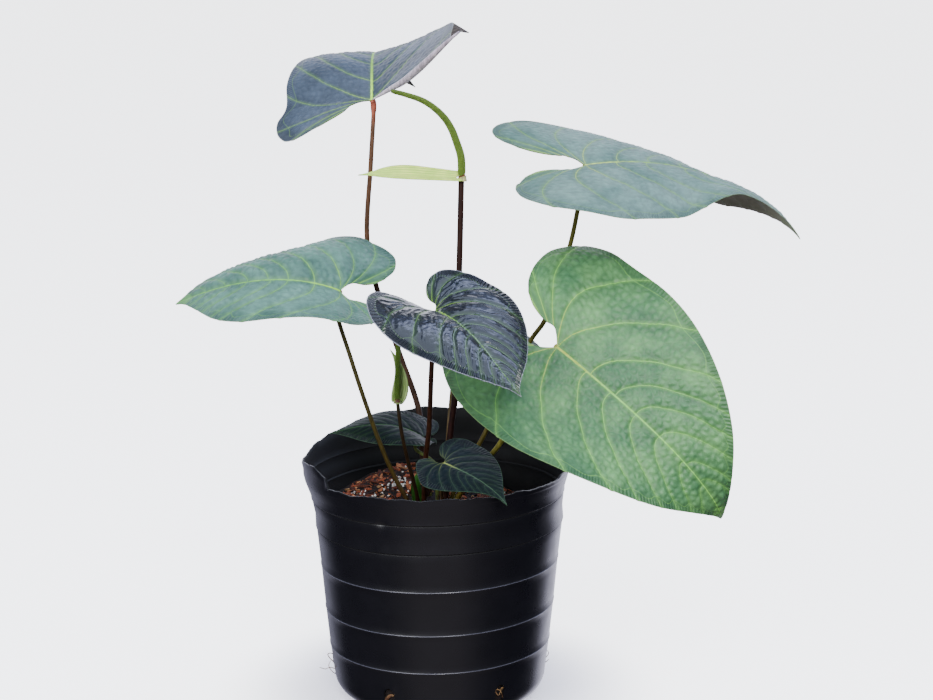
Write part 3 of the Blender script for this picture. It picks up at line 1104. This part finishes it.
def leaf_back(leaf):
    """The way straight out of a blade's back at its petiole."""
    ring = np.vstack([half_outline(leaf, HEART, 1)[:0:-1], half_outline(leaf, HEART, 0)]) * BLADE_RINGS_FIRST
    fan = np.vstack([[[0, 0]], ring])
    points = bend(leaf, fan[:, 0], fan[:, 1])
    arms = points[1:] - points[0]
    up = np.cross(arms[:-1], arms[1:]).sum(0)
    return -up / np.linalg.norm(up)


def stalk_tree():
    """A tube along a curve whose points carry their own radius, with closed ends."""
    tree, inputs = geometry_tree("stalk", Sides="Int", Finish="Material")
    along = add(tree, "GeometryNodeSplineParameter")["Factor"]
    stored = {"Geometry": inputs["Geometry"], "Name": "along", "Value": along}
    marked = add(tree, "GeometryNodeStoreNamedAttribute", stored, data_type="FLOAT", domain="POINT")[0]
    ring = add(tree, "GeometryNodeCurvePrimitiveCircle", {"Resolution": inputs["Sides"], "Radius": 1.0})[0]
    radius = add(tree, "GeometryNodeInputRadius")[0]
    tube = add(tree, "GeometryNodeCurveToMesh", {"Curve": marked, "Profile Curve": ring, "Scale": radius,
                                                 "Fill Caps": True})[0]
    smooth = add(tree, "GeometryNodeSetShadeSmooth", {"Geometry": tube})[0]
    real = add(tree, "GeometryNodeRealizeInstances", {"Geometry": smooth})[0]
    done = add(tree, "GeometryNodeSetMaterial", {"Geometry": real, "Material": inputs["Finish"]})[0]
    add(tree, "NodeGroupOutput", {"Mesh": done})
    return tree


def guide_curve(name, line, radii):
    """A curve object along a line of points, in millimetres, with a radius at each."""
    curve = bpy.data.curves.new(name, "CURVE")
    curve.dimensions = "3D"
    run = curve.splines.new("POLY")
    run.points.add(len(line) - 1)
    for point, at, radius in zip(run.points, line, radii):
        point.co = (*(at * MM), 1)
        point.radius = radius * MM
    return in_scene(name, curve)


def stalk_finish(name, low, high, top=None, gloss=0.55):
    """Waxy stalk skin that changes colour on its way up, with fine flecks along it."""
    made, tree, shader = material(name, gloss, Specular_IOR_Level=0.2)
    along = attribute(tree, "along")
    fleck = noise(tree, spot(tree, STALK_LOOK["stretch"]), *STALK_LOOK["fleck"])
    base = mix(tree, along, colour(low), colour(high))
    base = mix(tree, rise(tree, along, *STALK_LOOK["top"]), base, colour(top or high))
    body = scaled(tree, base, fade(tree, fleck, *USUAL, *STALK_LOOK["flecked"]))
    feed(shader, {"Base Color": body, "Normal": bump(tree, fleck, 0.3, 0.0004)})
    return made


stalks = stalk_tree()
for name, leaf in LEAVES.items():
    stalk = PETIOLES[name]
    back = leaf_back(leaf)
    end = np.array(leaf["at"]) + back * CLEAR
    foot = [(*stalk["foot"], FOOT_HEIGHT - FOOT_SUNK), (*stalk["foot"], FOOT_HEIGHT + FOOT_RISE)]
    line = smooth_way([*foot, *stalk["way"], end + back * stalk.get("neck", NECK), end])
    run = run_of(line)
    low, high = stalk["radius"]
    radii = SKIN + low + (high - low) * run / run[-1]
    radii = radii * (1 + KNEE["swell"] * step(run, run[-1] - KNEE["length"], run[-1] - 0.6 * KNEE["length"]))
    made = guide_curve(f"stalk_{name}", line, radii)
    skin = stalk_finish(f"petiole_{name}", *stalk["colours"], stalk.get("top"))
    place(run_tree(made, stalks, Sides=14, Finish=skin), f"petiole_{name}")

# The rolled margin of the top leaf: from the petiole round its right lobe the thin edge has
# curled over, so that a strip of the paler underside shows along it.
HEM = {"leaf": "top", "last": 9.4, "points": 60, "radius": 2.1, "thin": 0.15, "power": 0.7}


def lobe_edge(leaf, places):
    """The edge of a blade round its right half, and the points on it at some places."""
    _, _, loop, place_on, _, points = leaf_sheet(leaf, HEART, SINUS, 1.0)
    return points[:loop], [int(np.argmax(place_on[1:loop] < at)) + 1 for at in places]


edge, (count,) = lobe_edge(LEAVES[HEM["leaf"]], [HEM["last"]])
run = run_of(edge[:count])
edge = between(np.linspace(0, run[-1], HEM["points"]), run, edge[:count])
radii = HEM["thin"] + HEM["radius"] * np.sin(np.linspace(0, math.pi, HEM["points"])) ** HEM["power"]
hem_skin = stalk_finish("rolled_margin_skin", 0xE4D8E4, 0xC0B0BE, gloss=0.5)
hem = run_tree(guide_curve("rolled_margin", edge, radii), stalks, Sides=10, Finish=hem_skin)
place(hem, None)

# The folded corner of the top leaf: the end of its right lobe has creased over, and shows the
# brown underside with its pale stripes.
CORNER = {
    "from": 5.6, "out": (0.95, 0.0, -0.3), "wide": 7.2, "widest": 0.78, "round": 0.8, "lift": 1.2,
    "half": 0.2, "points": 14, "stripes": 420.0, "striped": (0.75, 0.95),
}

edge, ends = lobe_edge(LEAVES[HEM["leaf"]], (HEM["last"], CORNER["from"]))
low, high = edge[ends]
along = np.linspace(0, 1, CORNER["points"])
wide = CORNER["wide"] * np.interp(along, (0, 1 - CORNER["widest"], 1), (0, 1, 0)) ** CORNER["round"]
outer = low + (high - low) * along[:, None] + np.array(CORNER["out"]) * wide[:, None]
picks = np.linspace(*ends, CORNER["points"]).astype(int)
ring = np.vstack([edge[picks], outer[-2:0:-1]])
middle = ring.mean(0) + np.array([0, -CORNER["lift"], 0])
count = len(ring)
fan = np.array([(i, (i + 1) % count, count) for i in range(count)])
striped, tree, shader = material("folded_corner_skin", 0.7, Specular_IOR_Level=0.1)
waves = {"Vector": spot(tree), "Scale": CORNER["stripes"], "Distortion": 1.0}
bands = add(tree, "ShaderNodeTexWave", waves, bands_direction="Z")["Fac"]
stripes = mix(tree, rise(tree, bands, *CORNER["striped"]), colour(0x2A201C), colour(0x6E645A))
feed(shader, {"Base Color": stripes})
half = np.full(count + 1, CORNER["half"])
sheet = two_sided("folded_corner", np.vstack([ring, middle]), fan, count, half, -half, {}, striped)
place(sheet, None)

# The stem base: the short stem that every stalk grows from, sunk in the bark. Its crown is
# lumpy and brown, and a dry sheath is wrapped round the foot of each stalk.
CROWN_ROWS = [
    (91.4, 10.4), (93, 11.6), (103, 15), (110, 17.2), (115, 17.2), (118, 15.6), (119, 12), (119.2, 6),
]
CROWN_LUMPS = {"sides": 48, "waves": (5, 0.5), "depth": 0.5}
SHEATH = {"sides": 18, "rows": 5, "loose": 0.9, "wall": 0.35, "sunk": 1.2, "low": 0.6, "slant": 0.4}
SHEATH_HEIGHTS = (4.5, 8.5)
FIBRES = {
    "stretch": (1, 1, 0.22), "streaks": (620, 5), "clouds": (150, 3), "cloudy": (0.38, 0.62),
    "shade": (0.5, 1.4), "relief": (0.6, 0.0008),
}
FLOWER_FEET = [(3.5, -5, 1.75), (-13.5, -7, 0.95)]


def ring_wall(outside, inside):
    """Points and faces of a closed wall between two tubes of points, both row by row."""
    rows, sides = outside.shape[:2]
    size = rows * sides
    faces = []
    for k in range(sides):
        after = (k + 1) % sides
        for row in range(rows - 1):
            a, b, c, d = (r * sides + n for r, n in ((row, k), (row, after), (row + 1, after), (row + 1, k)))
            faces += [(a, b, c, d), (size + d, size + c, size + b, size + a)]
        top = size - sides
        faces.append((top + k, top + after, size + top + after, size + top + k))
        faces.append((size + k, size + after, after, k))
    return np.vstack([outside.reshape(-1, 3), inside.reshape(-1, 3)]), faces


def sheath(foot, radius, height, turn):
    """A thin scale wrapped round a stalk, higher on one side and a little loose at its top."""
    angles = np.arange(SHEATH["sides"]) * 2 * math.pi / SHEATH["sides"]
    tall = height * (SHEATH["low"] + SHEATH["slant"] * np.cos(angles - turn)) + SHEATH["sunk"]
    tubes = []
    for wall in (0, SHEATH["wall"]):
        rows = []
        for t in np.linspace(0, 1, SHEATH["rows"]):
            r = radius + SHEATH["loose"] * (1 - t + 0.5 * t ** 4) + 0.2 - wall
            rows.append(np.stack([foot[0] + r * np.cos(angles), foot[1] + r * np.sin(angles),
                                  foot[2] - SHEATH["sunk"] + tall * t], -1))
        tubes.append(np.array(rows))
    return ring_wall(*tubes)


def fibrous(name, low, high, rough):
    """Dry, finely streaked plant skin between two colours."""
    made, tree, shader = material(name, rough)
    streak = noise(tree, spot(tree, FIBRES["stretch"]), *FIBRES["streaks"])
    cloud = rise(tree, noise(tree, spot(tree), *FIBRES["clouds"]), *FIBRES["cloudy"])
    shade = fade(tree, streak, *USUAL, *FIBRES["shade"])
    body = scaled(tree, mix(tree, cloud, colour(low), colour(high)), shade)
    feed(shader, {"Base Color": body, "Normal": bump(tree, streak, *FIBRES["relief"])})
    return made


def joined(parts):
    """Several (points, faces) as one."""
    points, faces = [], []
    for more, around in parts:
        first = sum(len(p) for p in points)
        points.append(more)
        faces += [[first + i for i in face] for face in around]
    return np.vstack(points), faces


points, faces = turned([(91.4, 0), *CROWN_ROWS, (119.2, 0)], CROWN_LUMPS["sides"])
turn = np.arctan2(points[:, 1], points[:, 0])
around, up = CROWN_LUMPS["waves"]
swell = 1 - CROWN_LUMPS["depth"] * (1 + np.sin(around * turn + up * points[:, 2])) / CROWN_ROWS[3][1]
points[:, :2] = points[:, :2] * swell[:, None] + CROWN["at"]
crown_skin = fibrous("crown_skin", 0x2A1A10, 0x4E4022, 0.8)
place(mesh_object("stem_crown", points, faces, crown_skin), "stem_base")

rng = np.random.default_rng(31)
feet = [(*stalk["foot"], stalk["radius"][0]) for stalk in PETIOLES.values()] + FLOWER_FEET
parts = [sheath((x, y, FOOT_HEIGHT), radius, rng.uniform(*SHEATH_HEIGHTS), rng.uniform(0, 2 * math.pi))
         for x, y, radius in feet]
sheath_skin = fibrous("sheath_skin", 0x4A2A18, 0x5E6A30, 0.6)
place(mesh_object("stalk_sheaths", *joined(parts), sheath_skin), None)

# The flowers: each has a thin stalk that ends in a fleshy spadix, packed with tiny florets
# in crossing spirals, and a pale ribbed spathe that is wrapped round the spadix's foot.
BOAT = np.array([
    (1, 0), (0.93, 0.015), (0.85, 0.045), (0.76, 0.09), (0.62, 0.13), (0.45, 0.14), (0.25, 0.125),
    (0.08, 0.11), (-0.04, 0.095), (-0.08, 0.07),
])
HOOD = np.array([
    (1, 0), (0.9, 0.015), (0.75, 0.045), (0.55, 0.09), (0.38, 0.13), (0.22, 0.155), (0.08, 0.15),
    (-0.03, 0.115), (-0.06, 0.08),
])
FLOWERS = {
    "tall": {
        "stalk": [(3.5, -5, 116.3), (3.5, -5, 124.4), (5.2, -7, 150), (8.2, -8, 178), (9.9, -9, 191),
                  (12.5, -10, 271), (13.8, -10, 326)],
        "stalk_radius": (1.75, 1.5), "stalk_colours": (0x28110C, 0x2E1812),
        "spadix": [(14, -10, 326), (13.6, -10, 338.6), (11, -10.5, 347.4), (7.9, -11, 355.5),
                   (3.5, -11.5, 362.4), (-3.3, -12, 368.8), (-9.9, -12.5, 372.8), (-18.5, -13, 375.8),
                   (-27.9, -14, 378.3)],
        "radius": 2.4, "tip": 1.2, "floret": 0.66, "spadix_colours": (0x3E5810, 0x7E9A34),
        "outline": BOAT, "spathe_colours": (0xE8FC7C, 0xA0D040), "veins": 4.0, "spacing": 0.5,
        "spathe": PLAIN_LEAF | {
            "at": (10, -10, 326.2), "length": 58.3, "aim": (181, 3.5, -24), "width": (1.05, 1.05),
            "droop": (-4, 12, 0), "fold": (12, 12, 0), "curl": (30, 30, 0),
        },
        "clasp": ((14.3, -10, 325.4), 1.9, 2.2, -0.3), "clasp_colours": (0xD8DC98, 0xC4C080),
    },
    "short": {
        "stalk": [(-13.5, -7, 116.3), (-13.5, -7, 124.4), (-16.2, -12, 139), (-19.1, -17, 152),
                  (-22.8, -22, 172), (-25.2, -23, 191.6)],
        "stalk_radius": (0.95, 0.85), "stalk_colours": (0x26120A, 0x2C2210),
        "spadix": [(-25.2, -23, 191.6), (-25, -23.2, 203), (-24.6, -23.5, 217), (-24.2, -24, 233)],
        "radius": 1.75, "tip": 1.3, "floret": 0.55, "spadix_colours": (0x3A580E, 0x668626),
        "outline": HOOD, "spathe_colours": (0xB8D084, 0x74A044), "veins": 3.0, "spacing": 0.45,
        "spathe": PLAIN_LEAF | {
            "at": (-25.2, -20.6, 191.5), "length": 34, "aim": (8, 70, 90), "width": (0.95, 0.95), "sway": 57,
            "fold": (10, 10, 0), "curl": (60, 60, 0),
        },
        "clasp": ((-25.2, -22.6, 191.2), 1.4, 2.4, 1.6), "clasp_colours": (0xA8BC70, 0x84A050),
    },
}
SPADIX_FORM = {"taper": 1.6, "foot": 0.55, "foot_length": 0.05, "end": 0.6, "end_length": 0.03, "core": 0.9}
SPATHE = {"thickness": 0.55, "margin": 0.25, "rib": 0.35, "relief": 0.16}
SPATHE_LOOK = {
    "clouds": (160, 4), "cloudy": (0.35, 0.65, 0.0, 0.4), "veins": (0.04, 0.3, 0.75, 0.0),
    "tip": (0.6, 1.0, 0.0, 0.5), "relief": (0.25, 0.0004),
}
FLORETS = {"wide": 1.12, "clouds": (60, 3), "cloud_share": 0.6, "tone_share": 0.45}


def spadix_radius(t, base, tip):
    """Radius at a share t of the length: thinning to the tip and rounded at both ends."""
    body = base + (tip - base) * t ** SPADIX_FORM["taper"]
    rise = SPADIX_FORM["foot"] + (1 - SPADIX_FORM["foot"]) * t / SPADIX_FORM["foot_length"]
    fall = SPADIX_FORM["end"] + (1 - SPADIX_FORM["end"]) * (1 - t) / SPADIX_FORM["end_length"]
    return body * np.minimum(1, rise) * np.minimum(1, fall)


def side_axes(line):
    """Two ways across a line at each of its points, carried along without twist."""
    along = np.gradient(line, axis=0)
    along /= np.linalg.norm(along, axis=1)[:, None]
    first = np.cross(along[0], (0, 1, 0))
    sides = []
    for way in along:
        first = first - way * first.dot(way)
        first /= np.linalg.norm(first)
        sides.append((first, np.cross(way, first)))
    return np.array(sides)


def floret_spots(line, radius_at, apart):
    """Points in crossing spirals all over a tube of changing radius."""
    run = run_of(line)
    sides = side_axes(line)
    spots = []
    rows = int(run[-1] / (apart * 0.87))
    for row in range(rows):
        place_on = (row + 0.5) * run[-1] / rows
        at, across, up = (between(place_on, run, table) for table in (line, sides[:, 0], sides[:, 1]))
        radius = radius_at(place_on / run[-1])
        count = max(4, round(2 * math.pi * radius / apart))
        for k in range(count):
            angle = (k + row / 2) * 2 * math.pi / count + 0.2 * math.sin(row * 0.13)
            spots.append(at + radius * (math.cos(angle) * across + math.sin(angle) * up))
    return spots


def spathe_finish(name, pale, vein, veins):
    """Thin pale spathe skin with greener veins from end to end."""
    made, tree, shader = material(name, 0.5, Subsurface_Weight=0.15, Subsurface_Radius=(0.002, 0.003, 0.001))
    cloud = noise(tree, spot(tree), *SPATHE_LOOK["clouds"])
    line = calc(tree, "PINGPONG", calc(tree, "MULTIPLY", attribute(tree, "across"), veins), 0.5)
    body = mix(tree, fade(tree, cloud, *SPATHE_LOOK["cloudy"]), colour(pale), colour(vein))
    body = mix(tree, fade(tree, line, *SPATHE_LOOK["veins"]), body, colour(vein))
    greener = fade(tree, attribute(tree, "reach"), *SPATHE_LOOK["tip"])
    feed(shader, {"Base Color": mix(tree, greener, body, colour(vein)),
                  "Normal": bump(tree, cloud, *SPATHE_LOOK["relief"])})
    return made


def spathe_blade(name, flower):
    """One spathe with its lengthwise ribs as real relief."""
    leaf, outline = flower["spathe"], flower["outline"]
    sinus = np.vstack([outline[-1], (0, 0)])
    flat, faces, loop, _, share, points = leaf_sheet(leaf, outline, sinus, flower["spacing"])
    wide = np.interp(flat[:, 0], outline[::-1, 0], outline[::-1, 1])
    across = np.abs(flat[:, 1]) / np.maximum(wide, 0.004)
    ribs = SPATHE["relief"] * np.cos(2 * math.pi * across * flower["veins"]) * step(wide, 0.01, 0.06)
    half = (SPATHE["margin"] + (SPATHE["thickness"] - SPATHE["margin"]) * step(1 - share, 0, 0.15)) / 2
    keel = SPATHE["rib"] * np.exp(-(flat[:, 1] * leaf["length"] / 1.1) ** 2)
    marks = {"across": across, "reach": np.clip(flat[:, 0], 0, 1)}
    finish = spathe_finish(f"spathe_{name}", *flower["spathe_colours"], flower["veins"])
    front, back = half - ribs, -half - ribs - keel
    return two_sided(f"spathe_{name}_blade", points, faces, loop, front, back, marks, finish)


def floret_finish(name, low, high):
    """Fleshy green florets, each of its own tone, yellower at their tops."""
    made, tree, shader = material(name, 0.45)
    cloud = noise(tree, spot(tree), *FLORETS["clouds"])
    cloud = calc(tree, "MULTIPLY", cloud, FLORETS["cloud_share"])
    share = calc(tree, "MULTIPLY_ADD", attribute(tree, "tone"), FLORETS["tone_share"], cloud)
    feed(shader, {"Base Color": mix(tree, share, colour(low), colour(high))})
    return made


ring_skin = fibrous("spadix_foot_skin", 0x5A2418, 0x7A3A20, 0.5)
for name, flower in FLOWERS.items():
    line = smooth_way(flower["stalk"])
    run = run_of(line)
    radii = SKIN + np.interp(run, (0, run[-1]), flower["stalk_radius"])
    skin = stalk_finish(f"peduncle_{name}", *flower["stalk_colours"])
    made = run_tree(guide_curve(f"stalk_flower_{name}", line, radii), stalks, Sides=14, Finish=skin)
    place(made, f"peduncle_{name}")

    line = smooth_way(flower["spadix"], 20)
    run = run_of(line)
    ends = flower["radius"], flower["tip"]
    radii = spadix_radius(run / run[-1], *ends) * SPADIX_FORM["core"]
    skin = floret_finish(f"spadix_{name}", *flower["spadix_colours"])
    core = run_tree(guide_curve(f"spadix_{name}_core", line, radii), stalks, Sides=16, Finish=skin)
    place(core, f"spadix_{name}")
    spots = floret_spots(line, lambda t: SPADIX_FORM["core"] * spadix_radius(t, *ends), flower["floret"])
    size = [flower["floret"] * FLORETS["wide"] * MM] * 3
    florets = run_tree(points_object(f"spadix_{name}_florets", spots), scatter, Smallest=size, Largest=size,
                       Slant=0.0, Ragged=0.0, Detail=1, Smooth=True, Seed=3, Finish=skin)
    place(florets, None)
    x, y, z = flower["spadix"][0]
    collar = sheath((x, y, z + 0.5), flower["stalk_radius"][1], 2.0, 0.0)
    place(mesh_object(f"spadix_{name}_foot", *collar, ring_skin), None)

    place(spathe_blade(name, flower), f"spathe_{name}")
    clasp_skin = fibrous(f"clasp_skin_{name}", *flower["clasp_colours"], 0.5)
    place(mesh_object(f"spathe_{name}_clasp", *sheath(*flower["clasp"]), clasp_skin), None)

# The young shoot: a new leaf still rolled up in itself, widest a little above its foot, with
# the free edge of the roll running round it to its point.
SHOOT = {
    "way": [(-14, 2, 117), (-14, 2, 124.4), (-14.6, 0.5, 131), (-14.4, -1, 139.5)], "radius": 4.2,
    "foot": 0.75, "swell": 0.6, "point": 0.4, "sides": 36, "overlap": 0.16, "twist": 2.2, "edge_at": -1.2,
}


def rolled(line, radii, sides, overlap, twist, start):
    """A rolled leaf: a tube whose section is a spiral, so that its free edge stands proud."""
    turns = np.linspace(0, 2 * math.pi, sides)
    points = []
    for i, (at, (across, up)) in enumerate(zip(line, side_axes(line))):
        shift = start + twist * i / (len(line) - 1)
        for a in turns:
            r = radii[i] * (1 - overlap + overlap * a / (2 * math.pi))
            points.append(at + r * (math.cos(a + shift) * across + math.sin(a + shift) * up))
    faces = []
    for i in range(len(line) - 1):
        for k in range(sides):
            a, b = i * sides + k, i * sides + (k + 1) % sides
            faces.append((a, b, b + sides, a + sides))
    last = (len(line) - 1) * sides
    faces += [tuple(range(sides))[::-1], tuple(range(last, last + sides))]
    return np.array(points), faces


line = smooth_way(SHOOT["way"], 8)
share = run_of(line) / run_of(line)[-1]
radii = SHOOT["radius"] * (SHOOT["foot"] + SHOOT["swell"] * share) * (1 - share ** 2) + SHOOT["point"]
points, faces = rolled(line, radii, SHOOT["sides"], SHOOT["overlap"], SHOOT["twist"], SHOOT["edge_at"])
shoot_skin = stalk_finish("young_leaf_skin", 0x2C5A1E, 0x14402C, gloss=0.4)
place(mesh_object("rolled_shoot", points, faces, shoot_skin, 50), "young_shoot")

# The roots: fine pale roots that have found their way out of the drain slots, and others
# that lie across the slots inside.
ROOTS = [
    (0.3, [(-62, -4, 10), (-67, -4, 12.5), (-70, -5, 13.5), (-73, -4.5, 12.4), (-76.5, -5, 13.6)]),
    (0.35, [(-62, -3, 12), (-68, -3, 17), (-70.5, -3.4, 20), (-71.2, -3.8, 22), (-69, -3.5, 22.6),
            (-67.4, -3.2, 20.6)]),
    (0.3, [(-62, -5, 8), (-67.5, -6, 10.5), (-70.6, -5.5, 15), (-69.4, -5, 18)]),
    (1.3, [(-32, -56.8, 12.5), (-29.8, -58.4, 15.4), (-27, -59.6, 16.4)]),
    (0.5, [(-33, -56, 8), (-29.6, -59.8, 11.5), (-25.5, -60, 9)]),
    (0.4, [(32.5, -55.6, 12), (35, -55.8, 18.6), (37.6, -54.4, 17), (39.4, -52.4, 11)]),
    (0.35, [(33, -55, 20), (36.4, -55.2, 14.6), (38.6, -53.2, 19), (40, -51.6, 14)]),
    (0.5, [(33, -54.6, 7), (36, -55.4, 10), (39.6, -52, 6.5)]),
    (0.3, [(62, 3, 14), (67.6, 3.6, 17), (69.4, 4, 20), (68.2, 4.4, 22)]),
    (0.3, [(62, 5, 10), (67.8, 5, 13.6), (69.6, 4.4, 15.6)]),
]
ROOT_END = 0.6

root_skin = fibrous("root_skin", 0x5A3A24, 0xA07C50, 0.7)
for number, (radius, way) in enumerate(ROOTS):
    line = smooth_way(way, 6)
    radii = radius * np.linspace(1, ROOT_END, len(line))
    strand = run_tree(guide_curve(f"root_{number}", line, radii), stalks, Sides=6, Finish=root_skin)
    place(strand, None)
